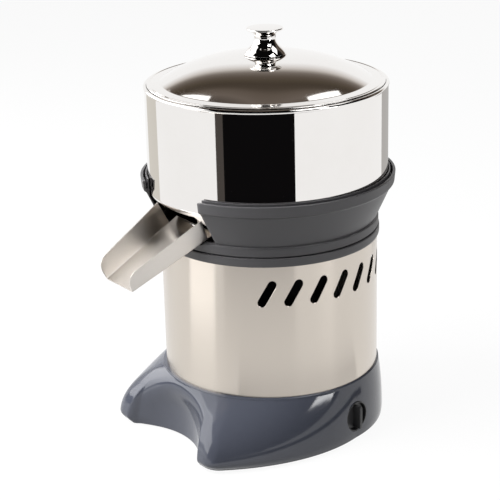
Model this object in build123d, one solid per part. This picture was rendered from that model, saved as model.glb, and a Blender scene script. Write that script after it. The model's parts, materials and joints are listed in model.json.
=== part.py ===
from build123d import *
import os
from math import atan2, cos, degrees, exp, radians, sin, sqrt

# Citrus press juicer with a direct-drive motor, in millimetres.
# The Z axis is the drive shaft, Z = 0 is the table and the spout points along -Y.

os.makedirs("parts", exist_ok=True)

# Heights above the table
RIM_Z = 2.0
DECK_Z = 60.0
HOUSING_TOP = 191.0
CAP_TOP = 199.5
COLLAR_Z = 200.2
COLLAR_SEAM_Z = 210.0
COLLAR_LIP_Z = 243.4
COLLAR_TOP = 253.4
BOWL_FLOOR = 212.0
BOWL_EDGE = 241.4
BEAD_Z = 338.0
LID_EDGE_Z = 341.2
LID_APEX_Z = 365.5
KNOB_TOP_Z = 391.2

# Radii of the turned forms
HOUSING_R = 105.0
HOUSING_WALL = 1.0
BASE_TOP_R = 106.5
CAP_R = 107.0
COLLAR_R = 122.4
BOWL_R = 115.3
BOWL_WALL = 1.2
BEAD_R = 2.1
LID_R = 112.8
DOME_R = 100.0
DOME_RISE = 23.2

# Base plan: a round back, two toes and a bay for the jug
BACK_R = 110.7
TOE_RISE = 117.0
TOE_FADE = 42.0
TOE_END = 100.0
TOE_FRONT = 136.0
BAY_Y = 186.5
BAY_R = 78.0
BAY_DRAFT = 4.0
BASE_WALL = 3.0
BOWING = 2.35
TUCK = 0.17

# Spout channel, measured on its outer faces
SPOUT_SLOPE = 24.7
SPOUT_TIP_R = 172.2
SPOUT_TIP_Z = 175.4
SPOUT_LENGTH = 85.3
SPOUT_TIP_W = 44.5
SPOUT_ROOT_W = 64.7
SPOUT_TIP_H = 19.5
SPOUT_ROOT_H = 23.9
SPOUT_FLARE = 10.9
SPOUT_SHEET = 1.2
NOTCH_HALF = 44.5

# Vent slots in the housing
VENT_COUNT = 20
VENT_FIRST = 51.35
VENT_Z = 164.5
VENT_W = 8.2
VENT_RISE = 17.25
VENT_SHIFT = 9.8

# Switch and cord inlet
SWITCH_ANGLE = 10.0
SWITCH_Z = 25.0
SWITCH_FACE = 110.6
GLAND_ANGLE = 90.0
GLAND_Z = 22.0

# Drive line
SHAFT_R = 7.5
RUNNING_FIT = 0.05
BEARING_R = 17.5
BEARING_W = 11.0
STATOR_R = 62.0
BORE_R = 34.0
STACK_LOW = 98.0
STACK_HIGH = 148.0
TIE_R = 66.0
SHAFT_TOP = 296.0
PIN_Z = 270.0

# Strainer
STRAINER_Z = 231.0
STRAINER_SHEET = 1.2
HOLE_R = 1.8
HOLE_ROWS = (32, 41, 50, 59, 68, 77, 86, 95)

NODES = {}


def save(name, shape):
    """Write one node as a STEP file and keep it for later use."""
    shape.label = name
    export_step(shape, f"parts/{name}.step")
    NODES[name] = shape


def ring(r_in, r_out, low, high):
    """Plain ring around the shaft axis."""
    return Pos(0, 0, low) * extrude(Circle(r_out) - Circle(r_in), high - low)


def disc(r, low, high):
    """Plain disc around the shaft axis."""
    return Pos(0, 0, low) * extrude(Circle(r), high - low)


def turned(points):
    """Solid of revolution of a closed (radius, height) polygon."""
    face = make_face(Polyline(*points, close=True))
    return revolve(Plane.XZ * face, Axis.Z)


def around(count, radius, first=0.0):
    """Places on a circle around the shaft axis."""
    return PolarLocations(radius, count, start_angle=first)


def outward(angle, z):
    """Plane on the shaft axis whose normal points out along an azimuth and whose Y is up."""
    a = radians(angle)
    return Plane((0, 0, z), x_dir=(-sin(a), cos(a), 0), z_dir=(cos(a), sin(a), 0))


def stub(angle, z, r, near, far):
    """Cylinder along an azimuth, from one distance to another."""
    plane = outward(angle, z)
    return plane.offset(near) * extrude(Circle(r), far - near)


def group(pieces):
    """Separate solids kept in one node."""
    return Compound(children=list(pieces))


# Base


def smooth_min(a, b, k):
    """Lower of two values, with the corner rounded over a width k."""
    h = max(k - abs(a - b), 0) / k
    return min(a, b) - h * h * k / 4


def skirt_reach(angle):
    """Radius of the foot of the base without the bay, by angle from the front."""
    fade = exp(-angle / TOE_FADE) - exp(-TOE_END / TOE_FADE)
    side = BACK_R + TOE_RISE * max(fade, 0)
    if angle > 60:
        return side
    return smooth_min(TOE_FRONT / cos(radians(angle)), side, 10)


def bay_reach(angle, t):
    """Distance to the bay's round wall at depth t, by angle from the front."""
    a = radians(min(angle, 22.5))
    wall = BAY_R + BAY_DRAFT * (1 - t)
    reach = BAY_Y * cos(a) - sqrt(wall**2 - (BAY_Y * sin(a)) ** 2)
    return reach + 14 * max(angle - 22.5, 0) + 17 * (1 - t) ** 4


def skirt_radius(angle, t):
    """Radius of the base at depth t, from 0 at the deck to 1 at the foot."""
    bow = 1 - (1 - t) ** BOWING - TUCK * max((t - 0.85) / 0.15, 0) ** 2
    skirt = BASE_TOP_R + bow * (skirt_reach(angle) - BASE_TOP_R)
    return smooth_min(skirt, bay_reach(angle, t), 16)


SIDE_ANGLES = [5, 10, 14, 17, 19, 21, 23, 25, 27, 29, 31, 34]
SIDE_ANGLES += [38, 43, 50, 58, 68, 80, 92, 105, 120, 135, 150, 165]


def skirt_section(t, z, inset):
    """Closed outline of the base at one depth."""
    angles = [0, *SIDE_ANGLES, 180, *[-a for a in reversed(SIDE_ANGLES)]]
    points = []
    for angle in angles:
        r = skirt_radius(abs(angle), t) - inset
        a = radians(angle)
        points.append((r * sin(a), -r * cos(a), z))
    return Wire(Spline(*points, periodic=True))


def skirt(top, bottom, inset):
    """Solid of the base's outer form, or of its hollow when inset."""
    height = DECK_Z - RIM_Z
    first = (DECK_Z - top) / height
    shares = [0, 0.07, 0.14, 0.22, 0.32, 0.44, 0.56, 0.68, 0.78, 0.86, 0.92, 0.97, 1]
    steps = [first + (1 - first) * share for share in shares]
    span = top - bottom
    walls = []
    for t in steps:
        z = top - span * (t - first) / (1 - first)
        walls.append(skirt_section(t, z, inset))
    return Solid.make_loft(walls)


def make_base():
    post_spots = around(6, 94, 45)
    body = skirt(DECK_Z, RIM_Z, 0) - skirt(DECK_Z - 4, RIM_Z - 1, BASE_WALL)
    body -= disc(62, DECK_Z - 6, DECK_Z + 2)
    body += ring(101, 103.6, DECK_Z - 2, DECK_Z + 6)
    body += [Pos(0, 0, 7) * spot * extrude(Circle(5), 50) for spot in post_spots]
    body -= [Pos(0, 0, 6) * spot * extrude(Circle(1.7), 22) for spot in post_spots]
    body -= stub(SWITCH_ANGLE, SWITCH_Z, 15, 98, 118)
    body -= stub(GLAND_ANGLE, GLAND_Z, 6.6, 98, 118)
    save("base", body)

    slot = extrude(SlotCenterToCenter(24, 5), 4)
    plate = disc(102, 5, 7)
    plate -= [Pos(0, 0, 4) * spot * slot for spot in around(16, 52)]
    plate -= [Pos(0, 0, 4) * spot * extrude(Circle(2), 4) for spot in post_spots]
    save("base_plate", plate)
    save("rubber_foot_ring", ring(76, 87, 0, 5))

    screw = Pos(0, 0, 2.8) * extrude(Circle(3.6), 2.2) + Pos(0, 0, 5) * extrude(Circle(1.6), 17)
    screw -= Pos(0, 0, 2.8) * extrude(Rectangle(5, 1), 1)
    save("base_screws", group(spot * screw for spot in post_spots))


# Spout channel


SPOUT_TIP = Vector(0, -SPOUT_TIP_R, SPOUT_TIP_Z)
SPOUT_RUN = Vector(0, -cos(radians(SPOUT_SLOPE)), -sin(radians(SPOUT_SLOPE)))
SPOUT_RISE = Vector(0, -sin(radians(SPOUT_SLOPE)), cos(radians(SPOUT_SLOPE)))


def channel_section(along, inset, extra):
    """Cross-section of the flared channel at a distance from its tip."""
    share = along / SPOUT_LENGTH
    half = (SPOUT_TIP_W + (SPOUT_ROOT_W - SPOUT_TIP_W) * share) / 2 - inset
    height = SPOUT_TIP_H + (SPOUT_ROOT_H - SPOUT_TIP_H) * share + extra
    flare = radians(SPOUT_FLARE)
    top = half + height * sin(flare)
    foot = SPOUT_TIP - SPOUT_RUN * along + SPOUT_RISE * inset
    head = SPOUT_TIP - SPOUT_RUN * along + SPOUT_RISE * height * cos(flare)
    wide = Vector(half, 0, 0)
    wider = Vector(top, 0, 0)
    return Wire(Polyline(foot - wide, foot + wide, head + wider, head - wider, close=True))


def channel(inset, extra):
    """Solid that fills the channel, from its tip to inside the bowl."""
    ends = [channel_section(along, inset, extra) for along in (-extra, SPOUT_LENGTH + 22)]
    return Solid.make_loft(ends, ruled=True)


# Housing, cap and collar


def make_housing():
    tube = ring(HOUSING_R - HOUSING_WALL, HOUSING_R, DECK_Z, HOUSING_TOP)
    lean = degrees(atan2(VENT_RISE, VENT_SHIFT))
    length = sqrt(VENT_RISE**2 + VENT_SHIFT**2)
    pitch = (360 - 2 * VENT_FIRST) / (VENT_COUNT - 1)
    for i in range(VENT_COUNT):
        plane = outward(-90 + VENT_FIRST + i * pitch, VENT_Z).offset(HOUSING_R - 8)
        tube -= plane * extrude(Rot(0, 0, lean) * SlotCenterToCenter(length, VENT_W), 16)
    save("housing", tube)

    cap = turned([
        (100.2, 181), (103.6, 181), (103.6, HOUSING_TOP), (106.4, HOUSING_TOP), (CAP_R, HOUSING_TOP + 1.5),
        (CAP_R, CAP_TOP - 0.8), (CAP_R - 0.8, CAP_TOP), (98, CAP_TOP), (98, COLLAR_Z), (22, COLLAR_Z),
        (22, 195.5), (100.2, 195.5),
    ])
    boss = Pos(0, 0, 186) * extrude(Circle(8), 10)
    cap += [spot * boss for spot in around(4, 46, 45)]
    cap -= [Pos(0, 0, 180) * spot * extrude(Circle(2.6), 17) for spot in around(4, 46, 45)]
    cap -= [Pos(0, 0, 190) * spot * extrude(Circle(1.7), 12) for spot in around(4, 60)]
    save("housing_cap", cap)
    save("shaft_seal", turned([
        (8.4, 198), (10, 196.5), (21.95, 196.5), (21.95, 203), (12, 203), (12, 204.4), (8.4, 204.4),
    ]))

    collar = turned([
        (26, COLLAR_Z), (105.2, COLLAR_Z), (106.2, COLLAR_Z + 1), (106.2, 208.6), (104.9, COLLAR_SEAM_Z),
        (119.4, 242.0), (121.6, COLLAR_LIP_Z), (COLLAR_R, 252.4), (121.7, COLLAR_TOP), (119.8, COLLAR_TOP),
        (119.5, 252.9), (119.1, 245.6), (117.5, 245.0), (117.5, 254.6), (117.1, 255), (116.4, 255),
        (116.1, 254.6), (116.1, 238), (101.8, 209), (100.5, 204), (84, 204), (84, BOWL_FLOOR),
        (70, BOWL_FLOOR), (70, 204), (26, 204),
    ])
    collar -= Pos(0, -100, 208 + 40) * Box(2 * NOTCH_HALF, 100, 80)
    collar -= channel(-1.2, 2)
    collar -= [Pos(0, 0, 199) * spot * extrude(Circle(2.2), 8) for spot in around(4, 60)]
    save("collar", collar)
    screw = Pos(0, 0, 204) * extrude(Circle(3.8), 2.4) + Pos(0, 0, 192) * extrude(Circle(1.6), 12)
    save("collar_screws", group(spot * screw for spot in around(4, 60)))


# Motor


def make_motor():
    core = ring(BORE_R, STATOR_R, STACK_LOW, STACK_HIGH)
    slot = Pos(0, 0, STACK_LOW - 1) * extrude(Rectangle(15, 7), STACK_HIGH - STACK_LOW + 2)
    mouth = Pos(-10, 0, STACK_LOW - 1) * extrude(Rectangle(10, 2.5), STACK_HIGH - STACK_LOW + 2)
    core -= [spot * (slot + mouth) for spot in around(18, 46)]
    save("stator_core", core)

    end_turn = [(37, 0), (53, 0), (55, 3), (54, 8), (48, 10), (40, 9), (37, 6)]
    upper = turned([(r, STACK_HIGH + z) for r, z in end_turn])
    lower = turned([(r, STACK_LOW - z) for r, z in end_turn])
    save("windings", group([upper, lower]))

    ear = extrude(Circle(6), 6)
    lower_bell = turned([
        (12, 79), (22, 79), (22, 84), (63, 84), (63, STACK_LOW), (56.5, STACK_LOW), (56.5, 87), (21, 87),
        (21, 92), (BEARING_R, 92), (BEARING_R, 81), (12, 81),
    ])
    lower_bell += [Pos(0, 0, 84) * spot * ear for spot in around(4, TIE_R)]
    lower_bell -= [Pos(0, 0, 80) * spot * extrude(Circle(2.3), 12) for spot in around(4, TIE_R)]
    lower_bell -= [Pos(0, 0, 80) * spot * extrude(Circle(6), 12) for spot in around(6, 40, 30)]
    save("motor_bracket_lower", lower_bell)

    upper_bell = turned([
        (12, 175), (22, 175), (22, 172), (63, 172), (63, STACK_HIGH), (56.5, STACK_HIGH), (56.5, 168),
        (21, 168), (21, 162), (BEARING_R, 162), (BEARING_R, 173), (12, 173),
    ])
    upper_bell += [Pos(0, 0, 166) * spot * ear for spot in around(4, TIE_R)]
    upper_bell -= [Pos(0, 0, 160) * spot * extrude(Circle(2.3), 14) for spot in around(4, TIE_R)]
    upper_bell -= [Pos(0, 0, 160) * spot * extrude(Circle(2.6), 14) for spot in around(4, 46, 45)]
    save("motor_bracket_upper", upper_bell)

    save("bearing_lower", ring(SHAFT_R + RUNNING_FIT, BEARING_R, 81, 81 + BEARING_W))
    save("bearing_upper", ring(SHAFT_R + RUNNING_FIT, BEARING_R, 173 - BEARING_W, 173))

    tie = Pos(0, 0, 80) * extrude(Circle(4), 4) + Pos(0, 0, 84) * extrude(Circle(2.2), 92)
    tie += Pos(0, 0, 172) * extrude(RegularPolygon(4, 6), 3.5)
    save("tie_bolts", group(spot * tie for spot in around(4, TIE_R)))
    pad = Pos(0, 0, 172) * extrude(Circle(8) - Circle(2.6), 14)
    save("motor_pads", group(spot * pad for spot in around(4, 46, 45)))
    bolt = Pos(0, 0, 164.5) * extrude(Circle(4.5), 3.5) + Pos(0, 0, 168) * extrude(Circle(2.5), 26)
    save("motor_bolts", group(spot * bolt for spot in around(4, 46, 45)))


def make_rotor():
    shaft = disc(SHAFT_R, 64, SHAFT_TOP) - Pos(0, 0, PIN_Z) * Rot(0, 90, 0) * Cylinder(2.05, 30)
    shaft = chamfer(shaft.edges().group_by(Axis.Z)[-1], 1.2)
    save("shaft", shaft)
    save("drive_pin", Pos(0, 0, PIN_Z) * Rot(0, 90, 0) * Cylinder(2, 19))
    save("rotor_core", ring(SHAFT_R, BORE_R - 0.6, STACK_LOW, STACK_HIGH))

    fan = ring(SHAFT_R, 14, 65, 77) + ring(13, 56, 75, 77)
    blade = Pos(34, 0, 70) * Rot(0, 0, 18) * Box(40, 2, 10.5)
    fan += [Rot(0, 0, 30 * i) * blade for i in range(12)]
    save("cooling_fan", fan)
    save("slinger", turned([
        (SHAFT_R, 205), (18, 206.4), (18, 207.6), (9.5, 208.2), (9.5, 210.5), (SHAFT_R, 210.5),
    ]))


def make_electrics():
    spot = Rot(0, 0, 150) * Pos(84, 0, 0)
    can = Pos(0, 0, DECK_Z) * extrude(Circle(15), 66)
    can += [Pos(0, y, DECK_Z + 66) * Box(6, 1, 14) for y in (-5, 5)]
    save("capacitor", spot * can)
    clamp = Pos(0, 0, 82) * extrude(Circle(16.4) - Circle(15), 12)
    clamp += Pos(-16.6, 0, DECK_Z + 15) * Box(1.2, 10, 30)
    clamp += Pos(-20, 0, DECK_Z + 0.6) * Box(8, 10, 1.2)
    save("capacitor_clamp", spot * clamp)

    block = Pos(-10, 45, 15) * Box(44, 18, 16)
    block -= [Pos(-10 + x, 45, 23) * Box(8, 12, 8) for x in (-15, -5, 5, 15)]
    save("terminal_block", block)
    screw = extrude(Circle(2.8), 3) - Pos(0, 0, 2.2) * extrude(Rectangle(6, 0.8), 1)
    spots = [Pos(-10 + x, 45, 19) for x in (-15, -5, 5, 15)]
    save("terminal_screws", group(spot * screw for spot in spots))

    switch = outward(SWITCH_ANGLE, SWITCH_Z)
    can = switch.offset(76) * extrude(Rectangle(26, 26), 24)
    can += switch.offset(99) * extrude(Circle(5), 4)
    can -= switch.offset(92) * extrude(Circle(3 + RUNNING_FIT), 20)
    can += [switch.offset(70) * Pos(x, 0, 0) * extrude(Rectangle(1, 7), 7) for x in (-8, 0, 8)]
    save("switch_body", can)
    bezel = switch.offset(100) * extrude(Circle(14.9) - Circle(13.8), SWITCH_FACE - 100)
    bezel += switch.offset(100) * extrude(Circle(14.9) - Circle(5.1), 3)
    save("switch_bezel", bezel)
    knob = switch.offset(103.6) * extrude(Circle(13.3), 3.6)
    bar = switch.offset(106) * extrude(SlotOverall(24, 3.4, rotation=90), 10.4)
    bar = fillet(bar.edges().group_by(Axis((0, 0, 0), switch.z_dir))[-1], 0.6)
    knob = knob + bar + stub(SWITCH_ANGLE, SWITCH_Z, 3, 93, 105)
    save("switch_knob", knob)

    gland = stub(GLAND_ANGLE, GLAND_Z, 6.5, 97, 114) + stub(GLAND_ANGLE, GLAND_Z, 9.5, 111.4, 114.4)
    gland += outward(GLAND_ANGLE, GLAND_Z).offset(114) * extrude(Circle(6.5), 12, taper=5)
    gland -= stub(GLAND_ANGLE, GLAND_Z, 3.6, 90, 130)
    save("cord_gland", gland)


# Bowl, spout, strainer and reamer


def make_bowl():
    wall = BOWL_WALL
    shell = turned([
        (12, 260), (12, 262), (17, 262), (17, BOWL_FLOOR + wall), (85.5, BOWL_FLOOR + wall),
        (112.4, 237.7), (113.5, 239.3), (BOWL_R - wall, BOWL_EDGE), (BOWL_R - wall, BEAD_Z),
        (BOWL_R, BEAD_Z), (BOWL_R, BOWL_EDGE - 0.4), (114.6, 238.6), (113.2, 236.8), (86, BOWL_FLOOR),
        (15, BOWL_FLOOR), (15, 260),
    ])
    bead_ring = Plane.XZ * Pos(113.8, BEAD_Z) * Circle(BEAD_R)
    shell += revolve(bead_ring, Axis.Z)
    shell -= Pos(0, -100, 224.4) * Box(58, 40, 22)
    save("bowl", shell)

    trough = channel(0, 0) - channel(SPOUT_SHEET, 4)
    top = SPOUT_TIP_H * cos(radians(SPOUT_FLARE))
    side = Plane(SPOUT_TIP - Vector(60, 0, 0), x_dir=-SPOUT_RUN, z_dir=(1, 0, 0))
    corner = Pos(5, top - 5) * Rectangle(12, 12) - Pos(11, top - 11) * Circle(11)
    trough -= side * extrude(corner, 120)
    trough -= side * extrude(Pos(SPOUT_LENGTH + 20, SPOUT_SHEET + 20) * Rectangle(40, 40), 120)
    trough -= turned([
        (0, BOWL_FLOOR), (86, BOWL_FLOOR), (113.2, 236.8), (114.6, 238.6), (BOWL_R, BOWL_EDGE - 0.4),
        (BOWL_R, 250), (0, 250),
    ])
    save("spout", trough)


def make_strainer():
    low, high = STRAINER_Z, STRAINER_Z + STRAINER_SHEET
    sheet = Circle(99) - Circle(24.2)
    for r in HOLE_ROWS:
        count = round(2 * 3.14159 * r / 9)
        sheet -= [spot * Circle(HOLE_R) for spot in around(count, r)]
    plate = Pos(0, 0, low) * extrude(sheet, STRAINER_SHEET)
    rim = turned([(99, low), (100.6, low), (109.6, 246), (108.4, 246), (100, high), (99, high)])
    sleeve = ring(22.8, 24.2, low, 250)
    foot = Pos(0, 0, BOWL_FLOOR + BOWL_WALL) * extrude(Circle(2.5), low - BOWL_FLOOR - BOWL_WALL)
    feet = [spot * foot for spot in around(3, 81.5, 30)]
    save("strainer", group([plate, rim, sleeve, *feet]))
    save("thrust_washer", ring(10.5, 16.5, 262, 264))


def make_reamer():
    outer = [(39, 268), (36.5, 275), (31, 290), (23, 306), (13, 320), (6, 327), (0, 329)]
    inner = [(38.5, 266.5), (31, 274), (25, 290), (17.5, 306), (9, 319), (3, 325), (0, 326)]
    body = turned([(0, 265), (38.5, 265), *inner])
    rib = Pos(23, 0, 297) * Box(38, 4.2, 63)
    full = turned([(0, 265), (39, 265), *outer])
    body += [full & (Rot(0, 0, 40 * i + 5) * rib) for i in range(9)]
    body += ring(18.2, 20.6, 255, 266)
    body -= turned([(0, 250), (11, 250), (11, 298), (0, 298)])
    body -= turned([(11, 260), (18.2, 260), (18.2, 266.5), (11, 266.5)])
    body += ring(11, 14.5, 264, 268)
    save("reamer", body)

    insert = ring(SHAFT_R + RUNNING_FIT, 11, 264, 298)
    insert += disc(11, 296.6, 298)
    insert -= Pos(0, 0, 268.2) * Box(24, 4.6, 8.8)
    save("reamer_insert", insert)


# Lid


def make_lid():
    steps = [i / 12 for i in range(13)]
    dome = [(DOME_R * s, LID_APEX_Z - DOME_RISE * s**2.62) for s in steps]
    top = Spline(*dome, tangents=((1, 0), (1, -0.608)))
    under = Spline(*[(r, z - 1.0) for r, z in dome], tangents=((1, 0), (1, -0.608)))
    foot_z = LID_APEX_Z - DOME_RISE
    edge = Polyline(
        (DOME_R, foot_z), (103, 342.2), (LID_R, LID_EDGE_Z), (LID_R, LID_EDGE_Z - 1),
        (110.8, LID_EDGE_Z - 0.9), (110.8, 331), (109.8, 331), (109.8, LID_EDGE_Z - 0.8), (103, 341.2),
        (DOME_R, foot_z - 1),
    )
    axis_side = Line((0, LID_APEX_Z), (0, LID_APEX_Z - 1))
    face = make_face([*top.edges(), *edge.edges(), *under.edges(), *axis_side.edges()])
    lid = revolve(Plane.XZ * face, Axis.Z)
    lid -= disc(2.6, 355, 370)
    save("lid", lid)

    waist = Spline(
        (19.9, 366.4), (19.2, 367.6), (16.9, 370.3), (13.2, 373.7), (11.2, 376.4), (10.4, 379.1),
        (10.2, 382.0), (10.7, 384.6), (12.5, 386.4), (15.6, 387.8), (17.3, 388.7),
        tangents=((-0.3, 1), (0.7, 1)),
    )
    brim = ThreePointArc((17.3, 388.7), (17.1, 390.0), (15.4, 390.6))
    crown = Line((15.4, 390.6), (0, KNOB_TOP_Z))
    close = Polyline((0, KNOB_TOP_Z), (0, 365.6), (19.9, 365.6), (19.9, 366.4))
    outline = [*waist.edges(), *brim.edges(), *crown.edges(), *close.edges()]
    knob = revolve(Plane.XZ * make_face(outline), Axis.Z)
    knob -= disc(2.5, 364, 381)
    save("lid_knob", knob)

    save("lid_washer", ring(2.7, 8, 363.5, 364.4))
    screw = disc(4.4, 360.3, 363.5) + disc(2.4, 363.5, 380)
    screw -= Pos(0, 0, 360.5) * Box(8, 1, 2)
    save("lid_screw", screw)


make_base()
make_housing()
make_motor()
make_rotor()
make_electrics()
make_bowl()
make_strainer()
make_reamer()
make_lid()

for name, shape in NODES.items():
    box = shape.bounding_box()
    count = len(shape.solids())
    print(f"{name:20s} solids {count:2d} volume {shape.volume:10.0f} z {box.min.Z:6.2f} to {box.max.Z:6.2f}")
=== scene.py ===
# %% [markdown]
# A citrus press juicer is a motor in a steel drum, with a bowl, a strainer and a ribbed reamer on top.
# The CAD model already holds every solid in its right place, so this file only dresses it.
# Smooth visible pieces are worked out again as fine surfaces, because mirror metal shows every flat of a
# CAD mesh. The hidden motor pieces keep their CAD meshes and only get a finish.

# %% Load the CAD frame
import json
from math import radians

import bmesh
import bpy
import numpy as np
from mathutils import Matrix, Vector


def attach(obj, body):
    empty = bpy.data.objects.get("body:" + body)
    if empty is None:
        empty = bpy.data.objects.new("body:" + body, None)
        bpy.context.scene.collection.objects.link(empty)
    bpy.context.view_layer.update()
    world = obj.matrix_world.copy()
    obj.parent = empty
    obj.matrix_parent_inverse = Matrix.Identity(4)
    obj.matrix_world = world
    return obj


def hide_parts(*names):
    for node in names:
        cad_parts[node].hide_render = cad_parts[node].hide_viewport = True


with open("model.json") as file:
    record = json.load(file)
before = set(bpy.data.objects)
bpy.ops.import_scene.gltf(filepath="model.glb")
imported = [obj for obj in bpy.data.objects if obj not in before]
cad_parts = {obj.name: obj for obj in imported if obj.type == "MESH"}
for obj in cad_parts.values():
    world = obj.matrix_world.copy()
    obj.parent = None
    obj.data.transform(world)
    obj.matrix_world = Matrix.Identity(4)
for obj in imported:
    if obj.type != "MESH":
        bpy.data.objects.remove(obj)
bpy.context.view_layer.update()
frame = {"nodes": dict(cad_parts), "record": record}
NODES = frame["nodes"]
MM = 0.001

# %% [markdown]
# The camera stands to the right of the spout, a little above the rim, with a long lens.
# Its three axes were solved from the ellipses that the round rims make in the photograph, so the
# camera is placed by those axes and needs no aiming at a target.

# %% Camera
scene = bpy.context.scene
camera_data = bpy.data.cameras.new("photo_camera")
camera_data.sensor_width = 36.0
camera_data.lens = 110.19
camera_data.clip_start = 0.05
camera = bpy.data.objects.new("photo_camera", camera_data)
scene.collection.objects.link(camera)
scene.camera = camera
RIGHT = Vector((0.5977, 0.8014, -0.0240))
UP = Vector((-0.2559, 0.2191, 0.9416))
FORWARD = Vector((-0.7598, 0.5566, -0.3360))
PLACE = Vector((1.1274, -0.8495, 0.6743))
camera.matrix_world = Matrix((
    (RIGHT.x, UP.x, -FORWARD.x, PLACE.x),
    (RIGHT.y, UP.y, -FORWARD.y, PLACE.y),
    (RIGHT.z, UP.z, -FORWARD.z, PLACE.z),
    (0, 0, 0, 1),
))
scene.view_settings.view_transform = "Standard"
print("camera at", tuple(PLACE), "lens", camera_data.lens)

# %% [markdown]
# Every colour below is an sRGB hex value, as a picture editor shows it, and Blender's nodes want linear
# light. One function does that change. A second one adds a shader node with its settings and its links,
# so that a material reads as a short list of nodes.


# %% Colour and node helpers
def linear(colour):
    """sRGB hex to linear RGBA: c / 12.92 for dark channels, else ((c + 0.055) / 1.055) to the power 2.4."""
    c = np.array([int(colour[i:i + 2], 16) for i in (1, 3, 5)]) / 255
    rgb = np.where(c <= 0.04045, c / 12.92, ((c + 0.055) / 1.055) ** 2.4)
    return (*rgb.tolist(), 1.0)


def add(tree, kind, settings=None, **sockets):
    """Add one node. Settings are its properties; each socket, with _ for a space, gets a value or a link."""
    node = tree.nodes.new("ShaderNode" + kind)
    for name, value in (settings or {}).items():
        setattr(node, name, value)
    for name, value in sockets.items():
        key = int(name[1:]) if name[1:].isdigit() else name.replace("_", " ")
        if isinstance(value, bpy.types.NodeSocket):
            tree.links.new(value, node.inputs[key])
        else:
            node.inputs[key].default_value = value
    return node


print("pure white is", linear("#FFFFFF"))

# %% [markdown]
# The studio is a pale sweep in a dark room. To the camera the floor and the air are plain white. Polished
# metal shows the same white low down at the back, a dim warm ceiling above it and darkness at the sides and
# in front, which is what gives a mirror its shape. One ramp of colours does that: it runs along the sine of
# the elevation, and every step away from the back pushes it further on. Light Path tells the rays apart,
# so the object itself only gets the plain soft light.

# %% World
VIEW_AZIMUTH = -37.0
BACK_TURN, SIDE_PUSH = 177.0, 1.7
world = bpy.data.worlds.new("pale_studio")
scene.world = world
world.use_nodes = True
sky = world.node_tree
sky.nodes.clear()
rays = add(sky, "LightPath").outputs
heading = add(sky, "TexCoord").outputs["Generated"]
height = add(sky, "SeparateXYZ", Vector=heading).outputs["Z"]
back_azimuth = radians(VIEW_AZIMUTH + BACK_TURN)
behind = (np.cos(back_azimuth), np.sin(back_azimuth), 0)
facing = add(sky, "VectorMath", {"operation": "DOT_PRODUCT"}, _0=heading, _1=behind).outputs["Value"]
flat = add(sky, "VectorMath", {"operation": "MULTIPLY"}, _0=heading, _1=(1, 1, 0)).outputs["Vector"]
level = add(sky, "VectorMath", {"operation": "LENGTH"}, _0=flat).outputs["Value"]
aside = add(sky, "Math", {"operation": "SUBTRACT"}, _0=level, _1=facing).outputs[0]
reach = add(sky, "Math", {"operation": "MULTIPLY_ADD"}, _0=aside, _1=SIDE_PUSH, _2=height).outputs[0]
half = add(sky, "Math", {"operation": "MULTIPLY"}, _0=reach, _1=0.5).outputs[0]
ceiling = add(sky, "ValToRGB", Fac=half)
CEILING = [
    (0.21, "#FFFFFF"), (0.25, "#E9E6E4"), (0.28, "#CFC9C4"), (0.3, "#A39C95"), (0.32, "#7C736C"),
    (0.34, "#6B625A"), (0.36, "#5D534A"), (0.39, "#50473C"), (0.415, "#473E35"), (0.44, "#4C433A"),
    (0.465, "#61574E"), (0.5, "#6C625A"), (0.6, "#2A2623"), (0.75, "#0B0A0A"),
]
for number, (spot, colour) in enumerate(CEILING):
    stop = ceiling.color_ramp.elements[number] if number < 2 else ceiling.color_ramp.elements.new(spot)
    stop.position, stop.color = spot, linear(colour)
soft = add(sky, "Mix", {"data_type": "RGBA"},
           _0=rays["Is Glossy Ray"], _6=linear("#78787A"), _7=ceiling.outputs[0]).outputs[2]
clear = add(sky, "Math", {"operation": "MAXIMUM"},
            _0=rays["Is Camera Ray"], _1=rays["Is Transmission Ray"]).outputs[0]
seen = add(sky, "Mix", {"data_type": "RGBA"}, _0=clear, _6=soft, _7=linear("#FFFFFF")).outputs[2]
back = add(sky, "Background", Color=seen, Strength=1.0).outputs[0]
add(sky, "OutputWorld", Surface=back)
print("world nodes", len(sky.nodes))

# %% [markdown]
# A shape here is a grid of points: rows along a profile and columns around or along the piece. Four
# neighbouring points make a face. The grids of one piece are joined into one mesh and points that fall
# together are merged, so the seams and poles close and the mesh is a real solid.


# %% From grids to a mesh
def weld(name, *grids, crease=38):
    """Mesh from grids of points in mm, each (rows, columns, 3), merged where they meet and turned outwards."""
    points = np.concatenate([g.reshape(-1, 3) for g in grids]) * MM
    starts = np.cumsum([0] + [g.shape[0] * g.shape[1] for g in grids])
    faces = []
    for start, g in zip(starts, grids):
        i = start + np.arange(g.shape[0] * g.shape[1]).reshape(g.shape[:2])
        faces.append(np.stack([i[:-1, :-1], i[:-1, 1:], i[1:, 1:], i[1:, :-1]], -1).reshape(-1, 4))
    mesh = bpy.data.meshes.new(name)
    mesh.from_pydata(points, [], np.concatenate(faces))
    bm = bmesh.new()
    bm.from_mesh(mesh)
    bmesh.ops.remove_doubles(bm, verts=bm.verts, dist=2e-6)
    bmesh.ops.dissolve_degenerate(bm, edges=bm.edges, dist=1e-7)
    open_edges = [e for e in bm.edges if e.is_boundary]
    bmesh.ops.holes_fill(bm, edges=open_edges, sides=0)
    bmesh.ops.recalc_face_normals(bm, faces=bm.faces)
    bm.to_mesh(mesh)
    bm.free()
    mesh.shade_smooth()
    mesh.set_sharp_from_angle(angle=radians(crease))
    return mesh


def place(name, mesh, material, body, slot, *nodes):
    """Show a mesh as a piece that rides on a CAD body and stands for the named CAD nodes."""
    piece = bpy.data.objects.new(name, mesh)
    scene.collection.objects.link(piece)
    mesh.materials.append(material)
    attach(piece, body)
    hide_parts(*nodes)
    print(name, "faces", len(mesh.polygons), "on", body)
    return piece


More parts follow.
